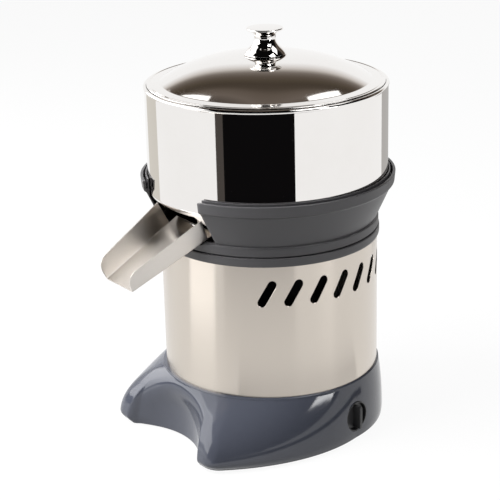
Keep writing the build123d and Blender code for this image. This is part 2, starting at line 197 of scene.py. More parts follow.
# %% [markdown]
# Most of the juicer is turned: a profile of radius and height spun about the shaft. Real edges are never
# sharp, so each corner of a profile is replaced by a small parabola, and two guard points beside it keep
# the flats flat when the shading is smoothed.


# %% Turned profiles
def soft_corners(corners, closed=True):
    """Path through (r, z, cut): each corner P becomes (1-s)^2 A + 2s(1-s) P + s^2 B, A and B lying cut away.
    Cuts and guards shrink where a side is too short for them, so the path never runs back on itself."""
    c = np.array(corners, float)
    p, cut = c[:, :2], c[:, 2:]
    before, after = np.roll(p, 1, 0) - p, np.roll(p, -1, 0) - p
    side_before, side_after = (np.linalg.norm(v, axis=1, keepdims=True) for v in (before, after))
    before, after = before / side_before, after / side_after
    fit_before = side_before / (cut + np.roll(cut, 1, 0) + 1e-9)
    fit_after = side_after / (cut + np.roll(cut, -1, 0) + 1e-9)
    cut = cut * np.minimum(1, 0.9 * np.minimum(fit_before, fit_after))
    s = np.linspace(0, 1, 7)[None, :, None]
    a, b = (p + before * cut)[:, None], (p + after * cut)[:, None]
    arcs = (1 - s) ** 2 * a + 2 * s * (1 - s) * p[:, None] + s**2 * b
    guard = np.minimum(cut, 0.5)
    guard_a = np.minimum(guard, 0.45 * (side_before - cut - np.roll(cut, 1, 0)))
    guard_b = np.minimum(guard, 0.45 * (side_after - cut - np.roll(cut, -1, 0)))
    path = np.concatenate([a + (before * guard_a)[:, None], arcs, b + (after * guard_b)[:, None]], 1).reshape(-1, 2)
    return np.vstack([path, path[:1]]) if closed else path[1:-1]


def turned(path, steps=192):
    """Profile spun about the shaft: x = r cos(angle), y = r sin(angle), z = z."""
    angle = np.linspace(0, 2 * np.pi, steps + 1)
    r, z = path[:, 0, None], path[:, 1, None]
    return np.stack([r * np.cos(angle), r * np.sin(angle), z + 0 * angle], -1)


def from_front(r, angle, z):
    """Points at radius r and an angle in degrees from the spout's direction: x = r sin, y = -r cos."""
    a = np.radians(angle)
    r, a, z = np.broadcast_arrays(r, a, z)
    return np.stack([r * np.sin(a), -r * np.cos(a), z], -1)


print("a soft square has", len(soft_corners([(1, 0, .1), (2, 0, .1), (2, 1, .1), (1, 1, .1)])), "points")

# %% [markdown]
# The drum round the motor is stainless sheet, ground round its length before it was rolled. The grinding
# leaves hair-fine lines that run round the drum, so reflections stay sharp sideways and soften upwards.
# The spout is the same sheet ground along its length, and the bowl and lid are buffed until lines vanish.


# %% Steel finishes
def ground_steel(name, dark, light, rough, lines, turn=(0, 0, 0), depth=0.04, stretch=0.0, run=None):
    """Sheet ground one way. Noise squeezed across the lines draws them in colour, gloss and height. Stretch
    pulls highlights out at right angles to the lines, which run round the shaft or along a given direction."""
    material = bpy.data.materials.new(name)
    material.use_nodes = True
    tree = material.node_tree
    shader = tree.nodes["Principled BSDF"]
    here = add(tree, "TexCoord").outputs["Object"]
    # Grinding lines are about 0.1 mm apart, too fine to show, so they are drawn about 0.6 mm apart
    along = add(tree, "Mapping", Vector=here, Rotation=turn, Scale=lines).outputs[0]
    hair = add(tree, "TexNoise", Vector=along, Scale=1.0, Detail=4.0, Roughness=0.7).outputs["Fac"]
    # Handling leaves cloudy patches some 60 mm wide
    cloud = add(tree, "TexNoise", Vector=here, Scale=1 / (60 * MM), Detail=3.0).outputs["Fac"]
    both = add(tree, "Mix", _0=0.35, _2=hair, _3=cloud).outputs[0]
    tone = add(tree, "Mix", {"data_type": "RGBA"}, _0=both, _6=linear(dark), _7=linear(light)).outputs[2]
    gloss = add(tree, "MapRange", Value=both, From_Min=0.3, From_Max=0.7,
                To_Min=rough[0], To_Max=rough[1]).outputs[0]
    tree.links.new(tone, shader.inputs["Base Color"])
    tree.links.new(gloss, shader.inputs["Roughness"])
    shader.inputs["Metallic"].default_value = 1.0
    if depth:
        bump = add(tree, "Bump", Height=hair, Strength=depth, Distance=0.2 * MM).outputs[0]
        tree.links.new(bump, shader.inputs["Normal"])
    if stretch:
        if run:
            way = add(tree, "VectorTransform", {"convert_from": "OBJECT", "convert_to": "WORLD"}, Vector=run)
        else:
            way = add(tree, "Tangent", {"direction_type": "RADIAL", "axis": "Z"})
        tree.links.new(way.outputs[0], shader.inputs["Tangent"])
        shader.inputs["Anisotropic"].default_value = stretch
        shader.inputs["Anisotropic Rotation"].default_value = 0.25
    return material


# Warm, soft-edged reflections with faint lines round the drum
DRUM_STEEL = ground_steel("stainless_sheet_ground_round", "#CFC6BC", "#D6CEC4", (0.21, 0.23),
                          (8, 8, 1600), depth=0.003, stretch=0.88)
# A greyer, duller sheet with lines that run down the chute
CHUTE_SLOPE = radians(24.7)
CHUTE_STEEL = ground_steel("stainless_sheet_ground_along", "#E4DED7", "#F0EBE5", (0.31, 0.38),
                           (1600, 8, 1600), (CHUTE_SLOPE, 0, 0), 0.02, 0.9, (0, -0.908, -0.418))
# A mirror with a breath of haze that drifts over some 50 mm
MIRROR_STEEL = ground_steel("stainless_spun_and_buffed", "#EAE7E4", "#F2F0EE", (0.015, 0.04), (20, 20, 20), depth=0)
# The lid is pressed and has a little more haze
LID_STEEL = ground_steel("stainless_pressed_and_buffed", "#EAE7E4", "#F2F0EE", (0.05, 0.08), (20, 20, 20), depth=0)
print("steel finishes", DRUM_STEEL.name, CHUTE_STEEL.name, MIRROR_STEEL.name, LID_STEEL.name)

# %% [markdown]
# The drum has a row of leaning vent slots, and a gap without slots over the spout. Each slot sits in its
# own leaning cell: rings of points step from the slot's rounded outline to the cell's four sides, and the
# cells, the bare front and the plain bands above and below share their edge points.

# %% Drum with vent slots
DRUM_R, SHEET, DRUM_LOW, DRUM_HIGH = 105.0, 1.0, 60, 191
SLOTS, FIRST_SLOT, SLOT_Z = 20, 51.35, 164.5
SLOT_RISE, SLOT_SHIFT, SLOT_R = 17.25, 9.8, 4.1
LEAN = SLOT_SHIFT / SLOT_RISE
CELL_H, STEPS = 34.0, 10
PITCH = (360 - 2 * FIRST_SLOT) / (SLOTS - 1)
CELL_W = np.radians(PITCH) * DRUM_R


def slot_outline(r):
    """Closed outline (around, up) at a distance r from the slot's axis: side, cap, side, cap."""
    axis = np.array([SLOT_SHIFT, SLOT_RISE]) / 2
    up = axis / np.linalg.norm(axis)
    right = np.array([up[1], -up[0]])
    t = np.linspace(0, 1, STEPS + 1)[:-1, None]
    cap = r * (np.cos(np.pi * t) * right + np.sin(np.pi * t) * up)
    half = np.concatenate([(2 * t - 1) * axis + r * right, axis + cap])
    return np.concatenate([half, -half, half[:1]])


def cell_outline():
    """Leaning cell round a slot, with as many points as the slot's outline and the same order."""
    t = np.linspace(-1, 1, STEPS + 1)[:-1]
    x = np.concatenate([np.ones(STEPS), -t]) * CELL_W / 2
    z = np.concatenate([t, np.ones(STEPS)]) * CELL_H / 2
    x, z = np.concatenate([x, -x, x[:1]]), np.concatenate([z, -z, z[:1]])
    return np.stack([x + LEAN * z, z], -1)


def drum_sheet(r, slot_r):
    """Grids of one face of the drum: the slot cells, the bare front and the bands below and above."""
    ease = np.linspace(0, 1, 6)[:, None, None] ** 1.5
    rings = (1 - ease) * slot_outline(slot_r) + ease * cell_outline()
    centres = FIRST_SLOT + PITCH * np.arange(SLOTS)
    cells = [from_front(r, c + np.degrees(rings[..., 0] / DRUM_R), SLOT_Z + rings[..., 1]) for c in centres]
    first, last = centres[0] - PITCH / 2, centres[-1] + PITCH / 2
    bare = np.linspace(last, first + 360, 49)
    rows = np.linspace(-1, 1, STEPS + 1)[:, None] * CELL_H / 2
    front = from_front(r, bare + np.degrees(LEAN * rows / DRUM_R), SLOT_Z + rows)
    columns = np.concatenate([np.linspace(first, last, SLOTS * STEPS + 1), bare[1:]])
    swing = np.degrees(LEAN * CELL_H / 2 / DRUM_R)
    low = from_front(r, columns - swing, np.linspace(DRUM_LOW, SLOT_Z - CELL_H / 2, 10)[:, None])
    high = from_front(r, columns + swing, np.linspace(SLOT_Z + CELL_H / 2, DRUM_HIGH, 4)[:, None])
    return cells, [front, low, high]


outer_cells, outer_bands = drum_sheet(DRUM_R, SLOT_R + 0.25)
inner_cells, inner_bands = drum_sheet(DRUM_R - SHEET, SLOT_R)
lip_cells, _ = drum_sheet(DRUM_R - 0.25, SLOT_R)
slot_walls = [np.stack([a[0], b[0], c[0]]) for a, b, c in zip(outer_cells, lip_cells, inner_cells)]
foot_edge = np.stack([outer_bands[1][0], inner_bands[1][0]])
head_edge = np.stack([outer_bands[2][-1], inner_bands[2][-1]])
drum_mesh = weld("drum", *outer_cells, *outer_bands, *inner_cells, *inner_bands, *slot_walls, foot_edge, head_edge)
place("drum", drum_mesh, DRUM_STEEL, "base", "housing_steel", "housing")

# %% [markdown]
# The cap over the drum and the collar that carries the bowl are dark grey ABS. Their moulds were
# spark-eroded, so the plastic has a fine even grain that spreads highlights into a satin sheen. The base
# below is the same plastic from a polished mould, and that one is nearly a mirror.


# %% Moulded plastic finishes
def moulded(name, dark, light, rough, grain, depth, edge):
    """Moulded plastic: grain of a size in mm for the bump, cloudy tone, and edges rubbed a little paler."""
    material = bpy.data.materials.new(name)
    material.use_nodes = True
    tree = material.node_tree
    shader = tree.nodes["Principled BSDF"]
    here = add(tree, "TexCoord").outputs["Object"]
    fine = add(tree, "TexNoise", Vector=here, Scale=1 / (grain * MM), Detail=3.0, Roughness=0.6).outputs["Fac"]
    cloud = add(tree, "TexNoise", Vector=here, Scale=1 / (45 * MM), Detail=4.0).outputs["Fac"]
    both = add(tree, "Mix", _0=0.6, _2=fine, _3=cloud).outputs[0]
    tone = add(tree, "Mix", {"data_type": "RGBA"}, _0=both, _6=linear(dark), _7=linear(light)).outputs[2]
    sharp = add(tree, "NewGeometry").outputs["Pointiness"]
    rubbed = add(tree, "MapRange", Value=sharp, From_Min=0.53, From_Max=0.62, To_Min=0.0, To_Max=0.6).outputs[0]
    tone = add(tree, "Mix", {"data_type": "RGBA"}, _0=rubbed, _6=tone, _7=linear(edge)).outputs[2]
    gloss = add(tree, "MapRange", Value=both, From_Min=0.3, From_Max=0.7,
                To_Min=rough[0], To_Max=rough[1]).outputs[0]
    bump = add(tree, "Bump", Height=fine, Strength=depth, Distance=0.1 * MM).outputs[0]
    tree.links.new(tone, shader.inputs["Base Color"])
    tree.links.new(gloss, shader.inputs["Roughness"])
    tree.links.new(bump, shader.inputs["Normal"])
    shader.inputs["IOR"].default_value = 1.54
    return material


SATIN_GREY = moulded("abs_moulded_satin_grey", "#454446", "#4D4C4E", (0.36, 0.46), 0.9, 0.25, "#8C8A8B")
GLOSS_SLATE = moulded("abs_moulded_gloss_slate", "#434650", "#4B4E58", (0.08, 0.12), 7.0, 0.04, "#5E616B")
BLACK_SATIN = moulded("abs_moulded_black", "#2B2B2C", "#373738", (0.28, 0.4), 0.8, 0.2, "#5A5A5C")
print("plastic finishes", SATIN_GREY.name, GLOSS_SLATE.name, BLACK_SATIN.name)

# %% [markdown]
# The cap closes the drum and stands 2 mm proud of it. It is one turned ring with a web across the top, so
# its profile is enough.

# %% Cap of the drum
cap_path = soft_corners([
    (100.2, 181, .3), (103.6, 181, .3), (103.6, 191, .1), (106.4, 191, .3), (107, 192.5, .8), (107, 199.5, 1.1),
    (98, 199.5, .3), (98, 200.2, .2), (22, 200.2, .3), (22, 195.5, .3), (100.2, 195.5, 1),
])
place("drum_cap", weld("drum_cap", turned(cap_path)), SATIN_GREY, "base", "collar_grey", "housing_cap")

# %% [markdown]
# The collar is a foot ring with a floor, and a flared wall above it that is open towards the spout. The
# wall ends on two flat faces, 89 mm apart, so each row of its grid starts at its own angle,
# asin(44.5 / r). The foot ring stays whole and only dips under the spout.

# %% Collar
GAP_HALF, DIP_HALF, CHUTE_GAP = 44.5, 33.5, 1.3
foot = soft_corners([
    (26, 200.2, .3), (105.4, 200.2, .5), (106.2, 201, .6), (106.2, 208.8, .7), (104.6, 210, .3), (100.8, 210, .3),
    (100.5, 204, 1.5), (84, 204, 1), (84, 212, .6), (70, 212, .6), (70, 204, 1), (26, 204, .3),
])
dip_edge = np.degrees(np.arcsin(DIP_HALF / 105))
columns = np.concatenate([
    np.linspace(-dip_edge, dip_edge, 25), np.linspace(dip_edge + 0.1, 359.9 - dip_edge, 170), [360 - dip_edge],
])
foot_ring = from_front(foot[:, :1], columns, foot[:, 1:])
chute_floor = 175.4 + (172.2 + foot_ring[..., 1]) * np.tan(CHUTE_SLOPE) - CHUTE_GAP
under = (np.abs(foot_ring[..., 0]) < DIP_HALF + 0.1) & (foot_ring[..., 1] < 0) & (foot[:, :1] > 99)
foot_ring[..., 2] = np.where(under, np.minimum(foot_ring[..., 2], chute_floor), foot_ring[..., 2])

wall = soft_corners([
    (104.4, 209.4, .2), (119.2, 241.9, 1.2), (121.4, 243.4, .8), (122.4, 253.4, .9), (119.7, 253.4, .3),
    (119.1, 245.4, .3), (117.5, 245.0, .3), (117.5, 255, .4), (116.1, 255, .4), (116.1, 238, 2), (101.9, 209.4, .2),
])
opening = np.degrees(np.arcsin(GAP_HALF / wall[:, :1]))
sweep = np.linspace(0, 1, 181)
flared_wall = from_front(wall[:, :1], opening + (360 - 2 * opening) * sweep, wall[:, 1:])
place("collar", weld("collar", foot_ring, flared_wall, crease=30), SATIN_GREY, "base", "collar_grey", "collar")

# %% [markdown]
# The base is the one free form: a round skirt that grows into two toes, with a bay between them for the
# jug. Its radius is a function of the angle from the front and of the depth below the deck. Two such
# functions, the toes and the bay, are joined by a smooth minimum, which rounds the ridge between them.


# %% Base form
def smooth_min(a, b, k):
    """Lower of two values with the corner rounded over a width k: min(a, b) - h^2 k / 4."""
    h = np.maximum(k - np.abs(a - b), 0) / k
    return np.minimum(a, b) - h**2 * k / 4


def skirt_reach(angle):
    """Foot of the skirt: 110.7 mm at the back, and toes that grow as exp(-angle / 42) up to a front at 136."""
    side = 110.7 + 117 * np.maximum(np.exp(-angle / 42) - np.exp(-100 / 42), 0)
    front = smooth_min(136 / np.cos(np.radians(np.minimum(angle, 60))), side, 10)
    return np.where(angle > 60, side, front)


def bay_reach(angle, t):
    """Near side of a circle centred 186.5 mm ahead, 78 mm in radius at the foot and 82 at the deck. It is let
    go past 22.5 degrees, and 17 (1 - t)^4 leans it out into a lip under the deck."""
    a = np.radians(np.minimum(angle, 22.5))
    near = 186.5 * np.cos(a) - np.sqrt((82 - 4 * t) ** 2 - (186.5 * np.sin(a)) ** 2)
    return near + 14 * np.maximum(angle - 22.5, 0) + 17 * (1 - t) ** 4


def skirt_radius(angle, t):
    """Radius at depth t, 0 at the deck and 1 at the foot: a bowed skirt, tucked in at the foot and cut by
    the bay."""
    bow = 1 - (1 - t) ** 2.35 - 0.17 * np.maximum((t - 0.85) / 0.15, 0) ** 2
    return smooth_min(106.5 + bow * (skirt_reach(angle) - 106.5), bay_reach(angle, t), 16)


DECK_Z, SKIRT_H, SHELL = 60, 58, 3
TOP_EDGE, TOE_EDGE = 1.4, 1.2
half_turn = np.concatenate([
    np.linspace(0, 14, 12)[:-1], np.linspace(14, 36, 80)[:-1], np.linspace(36, 60, 30)[:-1],
    np.linspace(60, 180, 80),
])
angles = np.concatenate([-half_turn[:0:-1], half_turn])
depth = np.linspace(TOP_EDGE / SKIRT_H, 1 - TOE_EDGE / SKIRT_H, 44)[:, None]
skirt_r, skirt_z = skirt_radius(np.abs(angles), depth), DECK_Z - SKIRT_H * depth + 0 * angles
blend = np.linspace(0, 1, 6)[:, None]
top_r, foot_r = skirt_r[0], skirt_r[-1]
edge_r = (1 - blend) ** 2 * (top_r - TOP_EDGE) + 2 * blend * (1 - blend) * top_r + blend**2 * top_r
edge_z = DECK_Z - TOP_EDGE * blend**2 + 0 * angles
toe_r = foot_r - TOE_EDGE * blend**2
toe_z = 3.2 - TOE_EDGE * (2 * blend - blend**2) + 0 * angles
deck = soft_corners([
    (62, 56, .3), (62, 60, .6), (101, 60, .2), (101, 66, .4), (103.6, 66, .4), (103.6, 60, 0),
], False)
deck_r, deck_z = deck[:, :1] + 0 * angles, deck[:, 1:] + 0 * angles
hollow = np.linspace(1.0, 4 / SKIRT_H, 20)[:, None]
hollow_r, hollow_z = skirt_radius(np.abs(angles), hollow) - SHELL, DECK_Z - SKIRT_H * hollow + 0 * angles
base_r = np.vstack([deck_r, edge_r, skirt_r[1:], toe_r[1:], hollow_r, deck_r[:1]])
base_z = np.vstack([deck_z, edge_z, skirt_z[1:], toe_z[1:], hollow_z, deck_z[:1]])
base_mesh = weld("base_shell", from_front(base_r, angles, base_z))
base = place("base_shell", base_mesh, GLOSS_SLATE, "base", "base_gloss", "base")

# %% [markdown]
# The switch sits in the skirt and turns about a line that runs out from the shaft. Its pieces are made
# standing on the shaft axis like any turned piece and then laid over to the switch's azimuth and height. A
# plug of the same make first cuts the hole for it out of the base.


# %% Switch
def laid_over(grid, azimuth, height):
    """Point (x, y, h) moved to a side axis: x runs round the drum, y runs up and h runs out along the azimuth."""
    a = radians(azimuth)
    axes = np.array([[-np.sin(a), np.cos(a), 0], [0, 0, 1], [np.cos(a), np.sin(a), 0]])
    return grid @ axes + np.array([0, 0, height])


def grip(length, width, low, high, soft):
    """Bar with round ends: the outline of a long slot, drawn in by 1 - sqrt(1 - u^2) as it nears its top."""
    t = np.linspace(0, np.pi, 25)
    straight = (length - width) / 2
    x = width / 2 * np.concatenate([np.cos(t), -np.cos(t), [1]])
    y = width / 2 * np.concatenate([np.sin(t), -np.sin(t), [0]])
    shift = straight * np.concatenate([np.ones(25), -np.ones(25), [1]])
    u = np.linspace(0, 1, 8)[:, None]
    inset = 1 - soft / (width / 2) * (1 - np.sqrt(1 - u**2))
    rows = np.vstack([np.ones((2, 1)), inset, [[0.3]], [[0.0]]])
    heights = np.concatenate([[low, high - soft - 0.3], (high - soft + soft * u[:, 0]), [high, high]])
    return np.stack([x * rows, y * rows + shift * np.maximum(rows, 0.0), heights[:, None] + 0 * x], -1)


SWITCH_AT = (10.0, 25.0)
cutter = bpy.data.objects.new("switch_hole", weld("switch_hole", laid_over(
    turned(np.array([[0, 95], [15, 95], [15, 125], [0, 125]], float), 96), *SWITCH_AT)))
scene.collection.objects.link(cutter)
hole = base.modifiers.new("switch_hole", "BOOLEAN")
hole.object, hole.operation, hole.solver = cutter, "DIFFERENCE", "EXACT"
cut_mesh = bpy.data.meshes.new_from_object(base.evaluated_get(bpy.context.evaluated_depsgraph_get()))
base.modifiers.remove(hole)
bpy.data.objects.remove(cutter)
base.data = cut_mesh
cut_mesh.set_sharp_from_angle(angle=radians(38))
bezel_path = soft_corners([
    (5.1, 100, .2), (14.9, 100, .3), (14.9, 110.6, .4), (13.8, 110.6, .3), (13.8, 103, .3), (5.1, 103, .2),
])
place("switch_bezel_ring", weld("switch_bezel_ring", laid_over(turned(bezel_path, 96), *SWITCH_AT)),
      BLACK_SATIN, "base", "black_plastic", "switch_bezel")
dial_path = soft_corners([
    (0, 93, 0), (3, 93, .3), (3, 103.6, .2), (13.3, 103.6, .3), (13.3, 107.2, .5), (0, 107.2, 0),
], False)
dial_grids = [laid_over(turned(dial_path, 96), *SWITCH_AT), laid_over(grip(24, 3.4, 106, 116.4, 0.7), *SWITCH_AT)]
place("switch_dial", weld("switch_dial", *dial_grids), BLACK_SATIN, "switch", "black_plastic", "switch_knob")

# %% [markdown]
# The bowl is spun from one sheet: a flat floor with a tube for the shaft, a short cone, a straight wall and
# a bead rolled outwards round a wire. The cone has an opening for the juice. Columns of the grid are kept
# at x = -29 and x = 29 on every row, so leaving out the faces between them cuts a clean window.

# %% Bowl
WINDOW_HALF = 29.0
bead = np.radians(np.linspace(278.2, -44.4, 33))
bead_path = np.stack([113.8 + 2.1 * np.cos(bead), 338 + 2.1 * np.sin(bead)], -1)


def cone(r_low, z_low, r_high, z_high):
    """Straight rows of the cone between the window's lower and upper edge."""
    t = np.linspace(0, 1, 8)[:, None]
    return (1 - t) * np.array([[r_low, z_low]]) + t * np.array([[r_high, z_high]])


inside_cone = cone(88.1, 215.6, 110.4, 235.9)
outside_cone = cone(88.85, 214.6, 111.2, 235.0)
floor_in = soft_corners([(12, 260, 0), (12, 262, .6), (17, 262, .6), (17, 213.2, 3), (85.5, 213.2, 1.2),
                         (88.1, 215.6, 0)], False)
wall_in = soft_corners([(110.4, 235.9, 0), (114.1, 239.3, 2.6), (114.1, 335.6, 0)], False)
wall_out = soft_corners([(115.3, 336.2, 0), (115.3, 238.7, 2.6), (111.2, 235.0, 0)], False)
floor_out = soft_corners([(88.85, 214.6, 0), (86, 212, 1.2), (15, 212, 2), (15, 260, .3), (12, 260, 0)], False)


def windowed(path):
    """Rows of the bowl with 24 columns across the window and 168 round the rest."""
    half = np.degrees(np.arcsin(np.minimum(WINDOW_HALF / path[:, :1], 0.7)))
    across = np.linspace(-1, 1, 25) * half
    around = half + (360 - 2 * half) * np.linspace(0, 1, 169)[1:]
    return from_front(path[:, :1], np.hstack([across, around]), path[:, 1:])


upper = windowed(np.vstack([wall_in, bead_path, wall_out]))
lower_in, lower_out = windowed(floor_in), windowed(floor_out)
cone_in, cone_out = windowed(inside_cone), windowed(outside_cone)
sill = np.stack([lower_in[-1, :25], lower_out[0, :25]])
head = np.stack([upper[0, :25], upper[-1, :25]])
jambs = [np.stack([cone_in[:, j], cone_out[:, j]]) for j in (0, 24)]
bowl_mesh = weld("bowl_spun", upper, lower_in, lower_out, cone_in[:, 24:], cone_out[:, 24:], sill, head, *jambs)
place("bowl_spun", bowl_mesh, MIRROR_STEEL, "bowl", "mirror_steel", "bowl")

# %% [markdown]
# The chute is sheet folded into a channel that narrows towards its tip. Its section at the tip and its
# section at the bowl are both drawn flat, and the surface runs straight from one to the other. Past the
# folds the floor goes on as a flat tongue under the bowl. Each line of the tongue stops where it meets the
# bowl's cone, found by halving the distance again and again.

# %% Spout chute
FLARE = radians(10.9)
RUN = np.array([0, -np.cos(CHUTE_SLOPE), -np.sin(CHUTE_SLOPE)])
RISE = np.array([0, -np.sin(CHUTE_SLOPE), np.cos(CHUTE_SLOPE)])
TIP, LENGTH, CHUTE_SHEET = np.array([0, -172.17, 175.4]), 85.3, 1.2


def chute_section(width, high):
    """Closed outline (across, up) of the folded sheet: outside of the channel, then its inside."""
    w, t = width / 2, CHUTE_SHEET
    lean, up = np.sin(FLARE) * high, np.cos(FLARE) * high
    return soft_corners([
        (-w - lean, up, .3), (-w, 0, 1.9), (w, 0, 1.9), (w + lean, up, .3), (w + lean - t, up, .3),
        (w - t, t, 1.1), (-w + t, t, 1.1), (-w - lean + t, up, .3),
    ])


tip_section, bowl_section = chute_section(44.5, 19.5), chute_section(64.7, 23.9)


def chute_point(along):
    """Points of every line of the chute at a distance from the tip, with the tip's upper corners rounded."""
    share = along / LENGTH
    flat = (1 - share)[..., None] * tip_section + share[..., None] * bowl_section
    x, up = flat[..., 0], flat[..., 1]
    top = 19.15 + (23.47 - 19.15) * share
    corner = np.clip(11 - along, 0, 11)
    limit = top - 11 + np.sqrt(np.maximum(121 - corner**2, 0))
    squeeze = np.where(up > 4, (limit - 4) / (top - 4), 1.0)
    drop = np.where(up > 4, (up - 4) * (1 - squeeze), 0.0)
    x = x - np.sign(x) * drop * np.tan(FLARE)
    return TIP - along[..., None] * RUN + x[..., None] * np.array([1, 0, 0]) + (up - drop)[..., None] * RISE


def tongue_point(along):
    """Points of the floor's tongue: a flat strip as wide as the channel's floor."""
    half = 21.05 + 10.1 * along / LENGTH
    strip = soft_corners([(-1, 0, .2), (1, 0, .2), (1, CHUTE_SHEET, .2), (-1, CHUTE_SHEET, .2)])
    x, up = strip[:, 0] * half, strip[:, 1] + 0 * along
    return TIP - along[..., None] * RUN + x[..., None] * np.array([1, 0, 0]) + up[..., None] * RISE


count = tongue_point(np.array([90.0])).shape[0]
near, far = np.full(count, LENGTH - 1), np.full(count, LENGTH + 22.0)
for _ in range(30):
    middle = (near + far) / 2
    q = tongue_point(middle)
    shell = np.interp(q[:, 2], [204, 212, 238.7, 260], [77.2, 86, 115.3, 115.3]) + 0.15
    outside = np.hypot(q[:, 0], q[:, 1]) > shell
    near, far = np.where(outside, middle, near), np.where(outside, far, middle)
tongue = tongue_point(LENGTH - 1 + (near - LENGTH + 1) * np.linspace(0, 1, 6)[:, None])
stations = np.concatenate([11 - 11 * np.cos(np.linspace(0, np.pi / 2, 11)), np.linspace(13, LENGTH, 14)])[:, None]
channel = chute_point(stations + 0 * tip_section[:, 0])
chute_mesh = weld("spout_chute", channel, tongue)
place("spout_chute", chute_mesh, CHUTE_STEEL, "bowl", "spout_steel", "spout")

# %% [markdown]
# The lid is pressed from one disc: a dome, z = 365.5 - 23.2 (r / 100)^2.62, and a narrow flange with a
# rolled edge that rests on the bowl's bead. A skirt below keeps it centred.

# %% Lid
dome_r = np.concatenate([np.linspace(2.6, 60, 30), np.linspace(60, 99.6, 36)[1:]])
dome = np.stack([dome_r, 365.5 - 23.2 * (dome_r / 100) ** 2.62], -1)
rim = soft_corners([
    (99.6, 342.54, 0), (100.2, 342.25, .2), (109.0, 341.25, .3), (109.6, 340.8, .2), (110.1, 340.8, .2),
    (110.7, 341.3, .4), (112.2, 341.2, .6), (112.8, 340.5, .4), (111.6, 340.1, .2), (110.8, 340.2, .2),
    (110.8, 331, .3), (109.8, 331, .3), (109.8, 340.4, .3), (100.2, 341.2, .3), (99.4, 341.6, 0),
], False)
lid_path = np.vstack([dome, rim, dome[::-1] - [0, 1], dome[:1]])
place("lid_dome", weld("lid_dome", turned(lid_path, 240)), LID_STEEL, "lid", "mirror_steel", "lid")

# %% [markdown]
# The lid's knob is turned from bar: a wide foot, a waist that fingers close round and a flat crown. A curve
# through its measured radii is drawn with Catmull-Rom pieces, whose slope at each point is half the step
# between its two neighbours.


# %% Lid knob
def catmull_rom(points, steps=8):
    """Smooth path through points: cubic pieces whose end slopes are half the step between the neighbours."""
    p = np.array(points, float)
    p = np.vstack([2 * p[0] - p[1], p, 2 * p[-1] - p[-2]])
    a, b, c, d = (p[i:len(p) - 3 + i, None] for i in range(4))
    s = np.linspace(0, 1, steps + 1)[None, :-1, None]
    piece = b + s * (c - a) / 2 + s**2 * (a - 2.5 * b + 2 * c - d / 2) + s**3 * (1.5 * (b - c) + (d - a) / 2)
    return np.vstack([piece.reshape(-1, 2), p[-2:-1]])


waist = catmull_rom([
    (19.9, 366.4), (19.2, 367.6), (16.9, 370.3), (13.2, 373.7), (11.2, 376.4), (10.4, 379.1), (10.2, 382),
    (10.7, 384.6), (12.5, 386.4), (15.6, 387.8), (17.3, 388.7),
])
crown = soft_corners([(17.3, 388.7, 0), (17.3, 390.5, .9), (0, 391.2, 0)], False)
shank = soft_corners([(2.5, 381, 0), (2.5, 365.6, .3), (19.9, 365.6, .3), (19.9, 366.4, 0)], False)
knob_path = np.vstack([[[0, 381]], shank, waist, crown])
place("lid_knob_turned", weld("lid_knob_turned", turned(knob_path, 120)), MIRROR_STEEL,
      "lid", "mirror_steel", "lid_knob")

# %% [markdown]
# Everything else keeps its CAD mesh. Each of those finishes is a real one too: black paint, rubber, cast
# alloy, varnished copper wire and so on, made from the same plastic and metal recipes with other numbers.

# %% Finishes of the CAD pieces
PLAIN = {
    "plate_paint": moulded("steel_plate_black_paint", "#1B1B1D", "#29292B", (0.4, 0.55), 1.2, 0.3, "#55555A"),
    "black_rubber": moulded("nitrile_rubber_moulded", "#161616", "#232323", (0.6, 0.8), 0.7, 0.4, "#303030"),
    "dark_plastic": moulded("nylon_moulded_dark", "#242425", "#323234", (0.4, 0.5), 0.8, 0.2, "#4A4A4C"),
    "cream_plastic": moulded("urea_moulded_cream", "#DCD2B8", "#E8DFC8", (0.3, 0.4), 0.8, 0.1, "#F0E8D4"),
    "white_plastic": moulded("acetal_moulded_white", "#E4E3DF", "#EFEEEA", (0.28, 0.38), 1.0, 0.1, "#F4F3F0"),
    "zinc_steel": ground_steel("steel_zinc_plated", "#A9AAAC", "#C4C5C6", (0.3, 0.45), (900, 900, 900)),
    "core_iron": ground_steel("iron_laminations_varnished", "#3F3E3D", "#5C5A58", (0.45, 0.6), (20, 20, 2000)),
    "copper_wire": ground_steel("copper_wire_varnished", "#8A4A28", "#B8693C", (0.25, 0.4), (700, 700, 1800)),
    # The motor casting is coloured near black, so that the inside seen through the drum's vent slots stays dark.
    "cast_alloy": moulded("casting_near_black", "#0D0D0E", "#171719", (0.35, 0.5), 1.0, 0.2, "#2A2A2C"),
    "bearing_steel": ground_steel("bearing_steel_ground", "#B5B5B7", "#D0D0D1", (0.15, 0.25), (10, 10, 1500)),
    "brass": ground_steel("brass_turned", "#B8913F", "#D2AE5C", (0.2, 0.32), (10, 10, 1400)),
    "housing_steel": DRUM_STEEL,
}
print("finishes for CAD pieces", len(PLAIN))

# %% [markdown]
# Two hidden pieces come to light when the lid is lifted or the back is turned round, so they are drawn
# smoothly too. The reamer is a body with nine ribs: its radius slides between an inner and an outer curve,
# and the share of the outer one falls off as exp(-(d / 2.2)^4) at d mm from the middle of a rib. The tip is
# one point for all of them. The cord's boot is a tapered sleeve whose radius waves every 2.4 mm.

